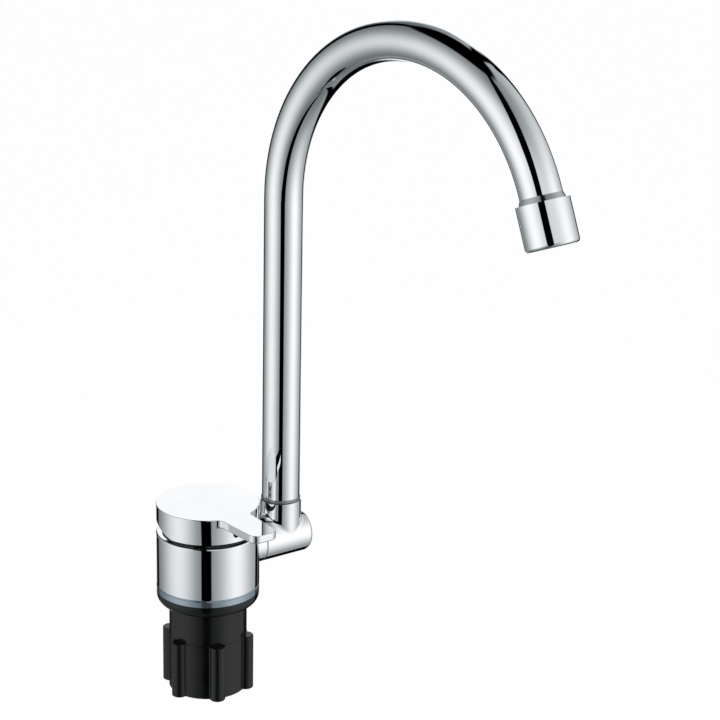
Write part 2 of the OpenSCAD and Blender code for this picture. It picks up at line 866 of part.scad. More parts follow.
module spout_tail() {
    color("goldenrod")
        on_spout_axis()
            difference() {
                union() {
                    translate([0, 0, z_tail]) cylinder(r = tail_r, h = z_tube - z_tail);
                    translate([0, 0, z_tube]) cylinder(r = tube_bore_r - film, h = tail_grip);
                }
                translate([0, 0, z_tail - over]) cylinder(d = tail_bore, h = z_tube + tail_grip);
                for (z = tail_o_rings)
                    ring(tail_r + over, tail_r - o_ring_t, z - o_ring_groove_w / 2, o_ring_groove_w);
                ring(tail_r + over, tail_r - snap_ring_in - film, z_snap - film, snap_ring_t + 2 * film);
            }
}

module spout_o_rings() {
    color("black")
        on_spout_axis()
            for (z = tail_o_rings) o_ring(tail_r - o_ring_r, o_ring_r - o_ring_squeeze / 2, z);
}

module snap_ring() {
    mouth = 4;
    color("lightsteelblue")
        on_spout_axis()
            difference() {
                ring(tail_r + snap_ring_out, tail_r - snap_ring_in, z_snap, snap_ring_t);
                translate([0, -mouth / 2, z_snap - over]) cube([2 * tail_r, mouth, snap_ring_t + 2 * over]);
            }
}

module spout_tube() {
    color("gainsboro")
        on_spout_axis() {
            ring(tube_r, tube_bore_r, z_tube, tube_straight);
            translate([0, -bend_r, z_bend])
                rotate([90, 0, 90])
                    rotate_extrude(angle = bend_angle)
                        translate([bend_r, 0])
                            difference() {
                                circle(r = tube_r);
                                circle(r = tube_bore_r);
                            }
        }
}

module outlet_neck() {
    color("silver")
        at_outlet()
            difference() {
                union() {
                    translate([0, 0, -neck_plug]) cylinder(r = neck_plug_r, h = neck_plug + over);
                    cylinder(r1 = tube_r, r2 = neck_d / 2, h = neck_length);
                    translate([0, 0, nozzle_start]) cylinder(r = neck_thread_r, h = neck_thread);
                }
                translate([0, 0, -neck_plug - over])
                    cylinder(d = neck_bore, h = neck_plug + neck_end + 2 * over);
            }
}

module aerator_housing() {
    color("gainsboro")
        at_outlet()
            difference() {
                round_drum(nozzle_r, nozzle_start, nozzle_length, film, nozzle_round);
                translate([0, 0, nozzle_start - over])
                    cylinder(r = nozzle_thread_r, h = insert_end - nozzle_start + over);
                cylinder(r = nozzle_thread_r - nozzle_lip_w, h = nozzle_end + over);
            }
}

module aerator_washer() {
    color("black")
        at_outlet() ring(neck_thread_r, neck_bore / 2, neck_end, aerator_washer_t);
}

module aerator_insert() {
    rim_w = 1.2;
    color("whitesmoke")
        at_outlet()
            difference() {
                translate([0, 0, insert_start]) cylinder(r = neck_thread_r, h = aerator_insert_h);
                translate([0, 0, insert_start - over])
                    cylinder(r = neck_thread_r - rim_w, h = aerator_insert_h - screen_t + over);
                for (row = screen_rings)
                    for (i = [0:row[1] - 1])
                        rotate([0, 0, i * 360 / row[1]])
                            translate([row[0], 0, insert_end - screen_t - over])
                                cylinder(d = screen_hole_d, h = screen_t + 2 * over);
            }
}

valve_body();
base_ring();
deck_seal();
shank();
clamp_washer();
clamp_sleeve();
fixing_nut();
inlet_seals();
cartridge_base();
fixed_disc();
moving_disc();
disc_driver();
cartridge_housing();
cartridge_o_ring();
carrier();
stem_pin();
stem();
retaining_nut();
dome_cover();
handle();
grub_screw();
pivot_spindle();
pivot_o_rings();
pivot_washers();
elbow();
elbow_end_plug();
slip_ring();
spout_tail();
spout_o_rings();
snap_ring();
spout_tube();
outlet_neck();
aerator_washer();
aerator_insert();
aerator_housing();
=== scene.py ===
"""Dresses the folding caravan tap: finishes, softened edges, the elbow's saddle and the shank's thread."""

import logging
import math
from collections.abc import Callable
from dataclasses import dataclass, replace
from enum import Enum

import bpy
from mathutils import Matrix, Vector


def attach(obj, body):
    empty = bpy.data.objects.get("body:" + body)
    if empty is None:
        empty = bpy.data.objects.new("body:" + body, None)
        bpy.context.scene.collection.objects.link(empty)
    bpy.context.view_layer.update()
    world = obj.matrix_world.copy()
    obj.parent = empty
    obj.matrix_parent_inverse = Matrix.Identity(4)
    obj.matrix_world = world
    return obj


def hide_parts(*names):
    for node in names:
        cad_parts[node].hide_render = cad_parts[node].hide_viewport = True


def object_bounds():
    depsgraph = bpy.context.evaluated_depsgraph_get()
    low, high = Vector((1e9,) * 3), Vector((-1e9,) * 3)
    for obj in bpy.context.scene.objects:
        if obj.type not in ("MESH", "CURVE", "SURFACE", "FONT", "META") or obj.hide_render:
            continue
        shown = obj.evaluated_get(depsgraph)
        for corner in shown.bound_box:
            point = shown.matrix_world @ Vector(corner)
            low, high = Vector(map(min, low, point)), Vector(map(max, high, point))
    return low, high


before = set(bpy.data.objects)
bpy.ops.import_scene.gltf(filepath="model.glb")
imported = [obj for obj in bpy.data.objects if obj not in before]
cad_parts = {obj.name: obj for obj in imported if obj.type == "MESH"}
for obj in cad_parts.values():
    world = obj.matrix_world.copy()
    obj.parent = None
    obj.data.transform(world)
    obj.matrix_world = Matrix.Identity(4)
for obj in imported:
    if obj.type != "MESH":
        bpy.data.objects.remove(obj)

LOG = logging.getLogger("tap")
MM = 0.001
CAD_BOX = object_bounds()

Socket = bpy.types.NodeSocket
Pair = tuple[float, float]
Triple = tuple[float, float, float]

# Points nearer than this, in metres, are merged
MERGE_GAP = 2e-6
# Faces that bend by less than this, in degrees, are joined
SAME_PLANE = 0.5
# A face whose normal rises by more than this counts as level
LEVEL_FACE = 0.9
# Steps of a softened edge, and the least angle of an edge that is softened, in degrees
ROUND_STEPS = 3
ROUND_ANGLE = 38
# Edges of a softened piece that are sharper than this, in degrees, stay sharp
ROUND_SMOOTH = 30
# How far large faces outweigh small ones in smooth shading, from 50 for not at all to 100
FACE_WEIGHT = 100
# The middle part of a noise's range, where most of its values lie
NOISE_RANGE = (0.3, 0.7)
# Octaves of a finish's clouds and of its fine relief
CLOUD_DETAIL = 4
GRAIN_DETAIL = 3
WHITE = (1, 1, 1, 1)


class Body(Enum):
    """Rigid bodies of the tap that a dressed piece can ride on."""

    BODY = "body"
    LEVER = "lever"
    ELBOW = "elbow"
    NUT = "nut"
    CLAMP = "clamp"


class Grain(Enum):
    """Ways that a surface's fine relief runs: even, or turned about Z or X, as scales along X, Y and Z."""

    EVEN = (1.0, 1.0, 1.0)
    TURNED_Z = (0.03, 0.03, 1.0)
    TURNED_X = (1.0, 0.03, 0.03)


class Tree:
    """A node tree under construction."""

    def __init__(self, tree: bpy.types.NodeTree) -> None:
        """Empties the tree.

        Args:
            tree: The node tree of a material or a world.
        """
        self.tree = tree
        self.tree.nodes.clear()

    def add(self, kind: str, **values: object) -> bpy.types.Node:
        """Adds a node and sets its properties.

        Args:
            kind: The node's type name.
            values: Properties of the node, by name.

        Returns:
            The new node.
        """
        node = self.tree.nodes.new(kind)
        for name, value in values.items():
            setattr(node, name, value)
        return node

    def join(self, source: Socket, target: Socket) -> None:
        """Links an output socket to an input socket."""
        self.tree.links.new(source, target)

    def noise(self, scale: float, detail: float, stretch: Triple = (1, 1, 1)) -> Socket:
        """Adds a noise pattern on Object coordinates.

        Args:
            scale: Pattern repeats per metre.
            detail: Number of finer octaves.
            stretch: Scale of the coordinates along X, Y and Z.

        Returns:
            The noise's factor output.
        """
        place = self.add("ShaderNodeTexCoord")
        mapping = self.add("ShaderNodeMapping")
        mapping.inputs["Scale"].default_value = stretch
        noise = self.add("ShaderNodeTexNoise")
        noise.inputs["Scale"].default_value = scale
        noise.inputs["Detail"].default_value = detail
        self.join(place.outputs["Object"], mapping.inputs["Vector"])
        self.join(mapping.outputs["Vector"], noise.inputs["Vector"])
        return noise.outputs["Fac"]

    def ramp(self, factor: Socket, dark: Triple, light: Triple) -> Socket:
        """Adds a colour ramp over a noise's middle range.

        Args:
            factor: The noise's output.
            dark: Colour where the noise is low.
            light: Colour where the noise is high.

        Returns:
            The ramp's colour output.
        """
        ramp = self.add("ShaderNodeValToRGB")
        for stop, place, colour in zip(ramp.color_ramp.elements, NOISE_RANGE, (dark, light)):
            stop.position = place
            stop.color = (*colour, 1)
        self.join(factor, ramp.inputs["Fac"])
        return ramp.outputs["Color"]

    def calc(self, operation: str, *terms: Socket | float) -> Socket:
        """Adds a sum, product or other operation on numbers and sockets.

        Args:
            operation: The operation's name.
            terms: Its numbers or sockets, in order.

        Returns:
            The result.
        """
        node = self.add("ShaderNodeMath", operation=operation)
        for slot, term in zip(node.inputs, terms):
            if isinstance(term, Socket):
                self.join(term, slot)
            else:
                slot.default_value = term
        return node.outputs["Value"]

    def step(self, value: Socket, start: float, end: float) -> Socket:
        """Adds a soft step.

        Args:
            value: The value that the step reads.
            start: Where the step is still 0.
            end: Where it has reached 1.

        Returns:
            The step's height.
        """
        node = self.add("ShaderNodeMapRange", interpolation_type="SMOOTHSTEP")
        node.inputs["From Min"].default_value = start
        node.inputs["From Max"].default_value = end
        self.join(value, node.inputs["Value"])
        return node.outputs["Result"]

    def bell(self, value: Socket, middle: float, spread: float) -> Socket:
        """Adds a bell curve.

        Args:
            value: The value that the curve reads.
            middle: Where the curve is 1.
            spread: Distance from there at which it has sunk to 1/e.

        Returns:
            The curve's height.
        """
        way = self.calc("DIVIDE", self.calc("SUBTRACT", value, middle), spread)
        return self.calc("EXPONENT", self.calc("MULTIPLY", self.calc("MULTIPLY", way, way), -1.0))

    def between(self, factor: Socket, values: Pair) -> Socket:
        """Maps a noise's middle range to a range of values.

        Args:
            factor: The noise's output.
            values: Values where the noise is low and where it is high.

        Returns:
            The mapped value.
        """
        node = self.add("ShaderNodeMapRange")
        node.inputs["From Min"].default_value, node.inputs["From Max"].default_value = NOISE_RANGE
        node.inputs["To Min"].default_value, node.inputs["To Max"].default_value = values
        self.join(factor, node.inputs["Value"])
        return node.outputs["Result"]


@dataclass(frozen=True)
class Finish:
    """One surface finish, as a procedural material.

    Attributes:
        name: The material's name.
        dark: Colour where its clouds are dark.
        light: Colour where they are light.
        metallic: Share of metal, from 0 to 1.
        rough: Roughness where the clouds are dark and where they are light.
        cloud_scale: Clouds per metre.
        grain_scale: Repeats of the fine relief per metre.
        grain_depth: Depth of the fine relief, in metres.
        grain: Way that the fine relief runs.
        specular: Strength of the gloss on a finish that isn't metal.
    """

    name: str
    dark: Triple
    light: Triple
    metallic: float
    rough: Pair
    cloud_scale: float
    grain_scale: float
    grain_depth: float
    grain: Grain = Grain.EVEN
    specular: float = 0.5

    def material(self) -> bpy.types.Material:
        """Builds the finish's material once and returns it after that.

        Returns:
            The material.
        """
        known = bpy.data.materials.get(self.name)
        if known:
            return known
        made = bpy.data.materials.new(self.name)
        made.use_nodes = True
        tree = Tree(made.node_tree)
        out = tree.add("ShaderNodeOutputMaterial")
        skin = tree.add("ShaderNodeBsdfPrincipled")
        skin.inputs["Metallic"].default_value = self.metallic
        skin.inputs["Specular IOR Level"].default_value = self.specular
        cloud = tree.noise(self.cloud_scale, CLOUD_DETAIL)
        tree.join(tree.ramp(cloud, self.dark, self.light), skin.inputs["Base Color"])
        tree.join(tree.between(cloud, self.rough), skin.inputs["Roughness"])
        bump = tree.add("ShaderNodeBump")
        bump.inputs["Strength"].default_value = 1.0
        bump.inputs["Distance"].default_value = self.grain_depth
        tree.join(tree.noise(self.grain_scale, GRAIN_DETAIL, self.grain.value), bump.inputs["Height"])
        tree.join(bump.outputs["Normal"], skin.inputs["Normal"])
        tree.join(skin.outputs["BSDF"], out.inputs["Surface"])
        return made

    def dress(self, piece: bpy.types.Object) -> None:
        """Gives the finish to a piece, on every slot that it has."""
        if not piece.material_slots:
            piece.data.materials.append(self.material())
        for slot in piece.material_slots:
            slot.material = self.material()


CHROME = Finish(
    "polished_chrome", dark=(0.885, 0.895, 0.905), light=(0.925, 0.93, 0.935), metallic=1.0,
    rough=(0.02, 0.04), cloud_scale=60, grain_scale=2500, grain_depth=1.5e-8,
)
RING = Finish(
    "blue_grey_plate", dark=(0.33, 0.40, 0.46), light=(0.38, 0.45, 0.51), metallic=0.9,
    rough=(0.1, 0.16), cloud_scale=180, grain_scale=1800, grain_depth=2e-7,
)
NYLON = Finish(
    "moulded_nylon", dark=(0.0012, 0.0012, 0.0014), light=(0.0026, 0.0026, 0.0028), metallic=0.0,
    rough=(0.16, 0.24), cloud_scale=150, grain_scale=2600, grain_depth=5e-7, specular=0.4,
)
RUBBER = Finish(
    "smooth_rubber", dark=(0.0015, 0.0015, 0.0015), light=(0.0035, 0.0035, 0.0035), metallic=0.0,
    rough=(0.14, 0.22), cloud_scale=220, grain_scale=2200, grain_depth=1e-6, specular=0.42,
)
ACETAL = Finish(
    "moulded_acetal", dark=(0.74, 0.73, 0.70), light=(0.80, 0.79, 0.77), metallic=0.0,
    rough=(0.35, 0.5), cloud_scale=140, grain_scale=1900, grain_depth=3e-6,
)
GREY_METAL = Finish(
    "dull_grey_ring", dark=(0.25, 0.26, 0.27), light=(0.33, 0.34, 0.345), metallic=0.7,
    rough=(0.26, 0.36), cloud_scale=200, grain_scale=2000, grain_depth=1e-6,
)
CERAMIC = Finish(
    "lapped_ceramic", dark=(0.80, 0.79, 0.74), light=(0.86, 0.85, 0.81), metallic=0.0,
    rough=(0.08, 0.16), cloud_scale=120, grain_scale=2400, grain_depth=4e-7,
)
BRASS = Finish(
    "turned_brass", dark=(0.62, 0.44, 0.17), light=(0.74, 0.55, 0.25), metallic=1.0,
    rough=(0.18, 0.32), cloud_scale=90, grain_scale=2600, grain_depth=5e-6, grain=Grain.TURNED_Z,
)
SPINDLE_BRASS = replace(BRASS, name="spindle_brass", grain=Grain.TURNED_X)
# Unplated metal darkened to near black: painted shade for the hollow inside the cap
UNPLATED_SHADED_CASTING = Finish(
    "unplated_shaded_casting", dark=(0.03, 0.03, 0.032), light=(0.05, 0.05, 0.052), metallic=0.4,
    rough=(0.45, 0.6), cloud_scale=160, grain_scale=1500, grain_depth=8e-6,
)
STEEL = Finish(
    "plain_steel", dark=(0.44, 0.45, 0.46), light=(0.55, 0.56, 0.57), metallic=1.0,
    rough=(0.22, 0.34), cloud_scale=110, grain_scale=2600, grain_depth=4e-6,
)
NICKEL = Finish(
    "nickel_plate", dark=(0.60, 0.61, 0.62), light=(0.68, 0.69, 0.70), metallic=1.0,
    rough=(0.1, 0.16), cloud_scale=120, grain_scale=2200, grain_depth=5e-7,
)


def alone(piece: bpy.types.Object) -> None:
    """Deselects everything and makes one piece the selected and active one."""
    bpy.ops.object.select_all(action="DESELECT")
    piece.select_set(True)
    bpy.context.view_layer.objects.active = piece


def apply_modifiers(piece: bpy.types.Object) -> None:
    """Applies all modifiers of a piece, in order."""
    alone(piece)
    for modifier in list(piece.modifiers):
        bpy.ops.object.modifier_apply(modifier=modifier.name)


def settle(piece: bpy.types.Object, name: str, smooth_angle: float) -> None:
    """Names a piece, moves its place into its mesh and shades it.

    Args:
        piece: The piece to settle.
        name: Its name.
        smooth_angle: Edges sharper than this, in degrees, stay sharp.
    """
    alone(piece)
    bpy.ops.object.transform_apply(location=True, rotation=True, scale=True)
    piece.name = name
    piece.data.name = name
    bpy.ops.object.shade_smooth_by_angle(angle=math.radians(smooth_angle))


def merged_copy(node: str, name: str) -> bpy.types.Object:
    """Copies a CAD node, with its loose triangles merged.

    Args:
        node: The CAD node to copy.
        name: The copy's name.

    Returns:
        The copy.
    """
    piece = bpy.data.objects.new(name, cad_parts[node].data.copy())
    bpy.context.scene.collection.objects.link(piece)
    alone(piece)
    bpy.ops.mesh.customdata_custom_splitnormals_clear()
    bpy.ops.object.mode_set(mode="EDIT")
    bpy.ops.mesh.select_all(action="SELECT")
    bpy.ops.mesh.remove_doubles(threshold=MERGE_GAP)
    bpy.ops.mesh.mark_sharp(clear=True)
    bpy.ops.mesh.dissolve_limited(angle_limit=math.radians(SAME_PLANE))
    bpy.ops.object.mode_set(mode="OBJECT")
    return piece


def select_edges(piece: bpy.types.Object, wanted: Callable[[Vector, Vector], bool]) -> None:
    """Selects the edges of a piece that a test wants and enters edit mode.

    Args:
        piece: The piece.
        wanted: Test of an edge's two ends.
    """
    alone(piece)
    bpy.ops.object.mode_set(mode="EDIT")
    bpy.ops.mesh.select_mode(type="EDGE")
    bpy.ops.mesh.select_all(action="DESELECT")
    bpy.ops.object.mode_set(mode="OBJECT")
    points = piece.data.vertices
    for edge in piece.data.edges:
        edge.select = wanted(points[edge.vertices[0]].co, points[edge.vertices[1]].co)
    bpy.ops.object.mode_set(mode="EDIT")


def softened(node: str, name: str, width: float) -> bpy.types.Object:
    """Copies a CAD node and rounds its sharp edges.

    Args:
        node: The CAD node to copy.
        name: The copy's name.
        width: Width of the rounding, in metres.

    Returns:
        The softened copy.
    """
    piece = merged_copy(node, name)
    bevel = piece.modifiers.new("round", "BEVEL")
    bevel.width = width
    bevel.segments = ROUND_STEPS
    bevel.limit_method = "ANGLE"
    bevel.angle_limit = math.radians(ROUND_ANGLE)
    bevel.miter_outer = "MITER_ARC"
    apply_modifiers(piece)
    settle(piece, name, ROUND_SMOOTH)
    even_shading(piece)
    return piece


def even_shading(piece: bpy.types.Object) -> None:
    """Lets large faces keep their own direction in smooth shading."""
    weighted = piece.modifiers.new("shading", "WEIGHTED_NORMAL")
    weighted.keep_sharp = True
    weighted.weight = FACE_WEIGHT
    apply_modifiers(piece)


def tube(outer_r: float, bore_r: float, low: float, top: float, sides: int) -> bpy.types.Object:
    """Builds a plain upright tube from a cylinder whose ends are inset and bridged.

    Args:
        outer_r: Outer radius.
        bore_r: Radius of the bore.
        low: Height of the lower end.
        top: Height of the upper end.
        sides: Number of sides round it.

    Returns:
        The tube.
    """
    bpy.ops.object.select_all(action="DESELECT")
    middle = (0, 0, (top + low) / 2)
    bpy.ops.mesh.primitive_cylinder_add(vertices=sides, radius=outer_r, depth=top - low, location=middle)
    piece = bpy.context.active_object
    bpy.ops.object.transform_apply(location=True, rotation=True, scale=True)
    bpy.ops.object.mode_set(mode="EDIT")
    bpy.ops.mesh.select_mode(type="FACE")
    bpy.ops.mesh.select_all(action="DESELECT")
    bpy.ops.object.mode_set(mode="OBJECT")
    for face in piece.data.polygons:
        face.select = abs(face.normal.z) > LEVEL_FACE
    bpy.ops.object.mode_set(mode="EDIT")
    bpy.ops.mesh.inset(thickness=outer_r - bore_r, use_individual=True)
    bpy.ops.mesh.bridge_edge_loops()
    bpy.ops.object.mode_set(mode="OBJECT")
    return piece


@dataclass
class Handle:
    """The cap and lever, with the polished edges of the real casting."""

    edge: float = 0.3 * MM
    under_edge: float = 0.8 * MM
    steps: int = 4
    cap_r: float = 24.0 * MM
    top: float = 43.0 * MM
    lever_under: float = 39.2 * MM
    inner_r: float = 20.9 * MM
    inner_top: float = 40.6 * MM
    slack: float = 0.02 * MM
    smooth: float = 32

    def on_top(self, start: Vector, end: Vector) -> bool:
        """Says whether an edge is on the upper outline."""
        return all(abs(point.z - self.top) < self.slack for point in (start, end))

    def on_underside(self, start: Vector, end: Vector) -> bool:
        """Says whether an edge is on the lever's lower outline."""
        return all(
            abs(point.z - self.lever_under) < self.slack and point.xy.length > self.cap_r + self.slack
            for point in (start, end)
        )

    def build(self) -> bpy.types.Object:
        """Rounds the cap's and the lever's edges and paints the cap's inside near black: unplated metal,
        darkened as painted shade.

        Returns:
            The piece that stands for the CAD handle.
        """
        piece = merged_copy("handle", "lever_cap")
        for rule, edge in ((self.on_top, self.edge), (self.on_underside, self.under_edge)):
            select_edges(piece, rule)
            bpy.ops.mesh.bevel(offset=edge, segments=self.steps, profile=0.5, clamp_overlap=False)
            bpy.ops.object.mode_set(mode="OBJECT")
        settle(piece, "lever_cap", self.smooth)
        even_shading(piece)
        CHROME.dress(piece)
        # The cap's inside faces get the near-black finish: painted shade in the hollow under the top
        piece.data.materials.append(UNPLATED_SHADED_CASTING.material())
        for face in piece.data.polygons:
            inside = face.center.xy.length < self.inner_r and face.center.z < self.inner_top
            face.material_index = int(inside)
        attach(piece, Body.LEVER.value)
        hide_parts("handle")
        return piece


@dataclass
class ValveBody:
    """The chrome body, with the polished round of its upper rim."""

    wall_r: float = 24.0 * MM
    rim_z: float = 29.0 * MM
    cad_round: float = 0.6 * MM
    rim_round: float = 0.8 * MM
    slack: float = 0.01 * MM
    smooth: float = 35

    def build(self) -> bpy.types.Object:
        """Widens the round of the upper rim.

        Returns:
            The piece that stands for the CAD body.
        """
        piece = merged_copy("valve_body", "polished_body")
        inner = self.wall_r - self.cad_round
        low = self.rim_z - self.cad_round
        for vertex in piece.data.vertices:
            out = vertex.co.xy.length
            if out > inner - self.slack and vertex.co.z > low - self.slack:
                turn = math.atan2(max(vertex.co.z - low, 0), max(out - inner, 0))
                reach = self.wall_r - self.rim_round * (1 - math.cos(turn))
                height = self.rim_z - self.rim_round * (1 - math.sin(turn))
                vertex.co = (vertex.co.x * reach / out, vertex.co.y * reach / out, height)
        settle(piece, "polished_body", self.smooth)
        even_shading(piece)
        CHROME.dress(piece)
        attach(piece, Body.BODY.value)
        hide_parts("valve_body")
        return piece


@dataclass
class ElbowSaddle:
    """The smooth saddle between the elbow's upright socket and its barrel."""

    axis_x: float = 41.0 * MM
    fold_z: float = 17.5 * MM
    barrel_r: float = 10.2 * MM
    socket_r: float = 9.75 * MM
    side_fillet: float = 5.0 * MM
    near_fillet: float = 3.4 * MM
    far_fillet: float = 0.6 * MM
    around: int = 144
    across: int = 14
    smooth: float = 60

    def fillet(self, turn: float) -> float:
        """Gives the fillet's radius, small towards the barrel's end and large at its sides.

        Args:
            turn: Angle round the socket from the barrel's far end, in radians.

        Returns:
            The radius, in metres.
        """
        end = self.far_fillet if math.cos(turn) > 0 else self.near_fillet
        return self.side_fillet * math.sin(turn) ** 2 + end * math.cos(turn) ** 2

    def point(self, turn: float, share: float) -> Vector:
        """Gives a point of the surface that a ball leaves when it rolls round the corner.

        Args:
            turn: Angle round the socket, in radians.
            share: Way across the saddle, from 0 on the socket to 1 on the barrel.

        Returns:
            The point, in the row frame.
        """
        ball = self.fillet(turn)
        out = self.socket_r + ball
        reach = self.barrel_r + ball
        side = out * math.sin(turn)
        centre = Vector((out * math.cos(turn), side, math.sqrt(reach * reach - side * side)))
        on_socket = Vector((self.socket_r * math.cos(turn), self.socket_r * math.sin(turn), centre.z))
        keep = self.barrel_r / reach
        on_barrel = Vector((centre.x, centre.y * keep, centre.z * keep))
        start = (on_socket - centre).normalized()
        end = (on_barrel - centre).normalized()
        return Vector((self.axis_x, 0, self.fold_z)) + centre + ball * start.slerp(end, share)

    def build(self) -> bpy.types.Object:
        """Wraps a grid round the corner between socket and barrel.

        Returns:
            The saddle, riding on the elbow.
        """
        bpy.ops.object.select_all(action="DESELECT")
        bpy.ops.mesh.primitive_grid_add(x_subdivisions=self.around, y_subdivisions=self.across, size=1)
        piece = bpy.context.active_object
        for vertex in piece.data.vertices:
            vertex.co = self.point((vertex.co.x + 0.5) * math.tau, vertex.co.y + 0.5)
        alone(piece)
        bpy.ops.object.mode_set(mode="EDIT")
        bpy.ops.mesh.select_all(action="SELECT")
        bpy.ops.mesh.remove_doubles(threshold=MERGE_GAP)
        bpy.ops.mesh.flip_normals()
        bpy.ops.object.mode_set(mode="OBJECT")
        settle(piece, "elbow_saddle", self.smooth)
        CHROME.dress(piece)
        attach(piece, Body.ELBOW.value)
        return piece


@dataclass
class DeckFixing:
    """The nut with its softened ribs and the shank with its cut thread.

    Attributes:
        half_foot: Half the width of the thread's foot, in pitches.
        half_crest: Half the width of its crest, in pitches.
        buried: How far its foot reaches into the shank.
    """

    nut_edge: float = 0.45 * MM
    pitch: float = 2.0 * MM
    half_foot: float = 0.46
    half_crest: float = 1 / 16
    buried: float = 0.3 * MM
    root_r: float = 15.1 * MM
    crest_r: float = 16.0 * MM
    bore_r: float = 12.6 * MM
    shank_low: float = -46.5 * MM
    thread_top: float = 2.6 * MM
    shank_top: float = 7.2 * MM
    steps: int = 72
    sides: int = 96
    smooth: float = 35

    def nut(self) -> bpy.types.Object:
        """Rounds the nut's edges.

        Returns:
            The piece that stands for the CAD nut.
        """
        piece = softened("fixing_nut", "ribbed_nut", self.nut_edge)
        NYLON.dress(piece)
        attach(piece, Body.NUT.value)
        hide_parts("fixing_nut")
        return piece

    def shank(self) -> bpy.types.Object:
        """Builds the shank as a tube with a helical ridge round it.

        Returns:
            The piece that stands for the CAD shank.
        """
        piece = tube(self.root_r, self.bore_r, self.shank_low, self.shank_top, self.sides)
        ridge = self.ridge()
        alone(piece)
        ridge.select_set(True)
        bpy.ops.object.join()
        settle(piece, "threaded_shank", self.smooth)
        NYLON.dress(piece)
        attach(piece, Body.BODY.value)
        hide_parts("shank")
        return piece

    def ridge(self) -> bpy.types.Object:
        """Screws a V-shaped section up the shank.

        Returns:
            The helical ridge.
        """
        turns = int((self.thread_top - self.shank_low) / self.pitch) - 1
        inside = self.root_r - self.buried
        bpy.ops.object.select_all(action="DESELECT")
        bpy.ops.mesh.primitive_plane_add(size=1)
        piece = bpy.context.active_object
        corners = (
            (inside, -self.half_foot),
            (self.crest_r, -self.half_crest),
            (inside, self.half_foot),
            (self.crest_r, self.half_crest),
        )
        for vertex, (out, up) in zip(piece.data.vertices, corners):
            vertex.co = (out, 0, self.shank_low + self.pitch / 2 + up * self.pitch)
        screw = piece.modifiers.new("thread", "SCREW")
        screw.axis = "Z"
        screw.screw_offset = self.pitch
        screw.iterations = turns
        screw.steps = self.steps
        screw.render_steps = self.steps
        apply_modifiers(piece)
        bpy.ops.object.mode_set(mode="EDIT")
        bpy.ops.mesh.select_all(action="SELECT")
        bpy.ops.mesh.remove_doubles(threshold=MERGE_GAP)
        bpy.ops.mesh.normals_make_consistent(inside=False)
        bpy.ops.object.mode_set(mode="OBJECT")
        return piece


@dataclass
class ClampWasher:
    """The thick washer under the base ring, with its deeply rounded lower rim."""

    radius: float = 23.95 * MM
    bore_r: float = 16.3 * MM
    top: float = -0.12 * MM
    low: float = -6.3 * MM
    rim: float = 4.8 * MM
    steps: int = 10
    sides: int = 160
    slack: float = 0.1 * MM
    smooth: float = 35

    def on_rim(self, start: Vector, end: Vector) -> bool:
        """Says whether an edge is on the lower outer rim."""
        return all(
            point.z < self.low + self.slack and point.xy.length > self.radius - self.slack
            for point in (start, end)
        )

    def build(self) -> bpy.types.Object:
        """Rounds the lower rim of a tube.

        Returns:
            The piece that stands for the CAD washer.
        """
        piece = tube(self.radius, self.bore_r, self.low, self.top, self.sides)
        select_edges(piece, self.on_rim)
        bpy.ops.mesh.bevel(offset=self.rim, segments=self.steps, profile=0.5)
        bpy.ops.object.mode_set(mode="OBJECT")
        settle(piece, "rounded_clamp_washer", self.smooth)
        RUBBER.dress(piece)
        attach(piece, Body.CLAMP.value)
        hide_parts("clamp_washer")
        return piece


@dataclass
class BaseRing:
    """The blue-grey ring under the body, with rounded rims."""

    edge: float = 0.55 * MM

    def build(self) -> bpy.types.Object:
        """Rounds the ring's rims.

        Returns:
            The piece that stands for the CAD ring.
        """
        piece = softened("base_ring", "rounded_base_ring", self.edge)
        RING.dress(piece)
        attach(piece, Body.BODY.value)
        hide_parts("base_ring")
        return piece


@dataclass
class SlipRing:
    """The dull ring between the elbow's socket and the tube, with rounded rims."""

    edge: float = 0.5 * MM

    def build(self) -> bpy.types.Object:
        """Rounds the ring's rims.

        Returns:
            The piece that stands for the CAD ring.
        """
        piece = softened("slip_ring", "rounded_slip_ring", self.edge)
        GREY_METAL.dress(piece)
        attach(piece, Body.ELBOW.value)
        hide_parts("slip_ring")
        return piece


@dataclass
class DomeCover:
    """The black cover over the cartridge, whose brim lies on the body's rim."""

    brim_in: float = 17.3 * MM
    smooth: float = 32

    def build(self) -> bpy.types.Object:
        """Plates the top of the brim and leaves the dome black.

        Returns:
            The piece that stands for the CAD cover.
        """
        piece = merged_copy("dome_cover", "brimmed_dome_cover")
        settle(piece, "brimmed_dome_cover", self.smooth)
        NYLON.dress(piece)
        piece.data.materials.append(CHROME.material())
        for face in piece.data.polygons:
            on_brim = face.center.xy.length > self.brim_in and face.normal.z > LEVEL_FACE
            face.material_index = int(on_brim)
        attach(piece, Body.BODY.value)
        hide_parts("dome_cover")
        return piece


@dataclass
class CadFinishes:
    """Finishes of the CAD nodes that show as they are."""

    table: tuple[tuple[Finish, tuple[str, ...]], ...] = (
        (CHROME, ("elbow", "elbow_end_plug", "spout_tube", "aerator_housing")),
        (NYLON, ("clamp_sleeve",)),
        (RUBBER, ("deck_seal", "inlet_seals", "aerator_washer")),
        (RUBBER, ("cartridge_o_ring", "pivot_o_rings", "spout_o_rings")),
        (ACETAL, ("cartridge_base", "cartridge_housing", "carrier", "disc_driver", "aerator_insert")),
        (CERAMIC, ("fixed_disc", "moving_disc")),
        (BRASS, ("retaining_nut", "spout_tail", "stem")),
        (SPINDLE_BRASS, ("pivot_spindle",)),
        (STEEL, ("stem_pin", "grub_screw", "snap_ring")),
        (NICKEL, ("outlet_neck",)),
        (GREY_METAL, ("pivot_washers",)),
    )

    def dress(self) -> None:
        """Gives every node in the table its finish."""
        for finish, nodes in self.table:
            for node in nodes:
                finish.dress(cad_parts[node])
                LOG.info("%s: %s", node, finish.name)


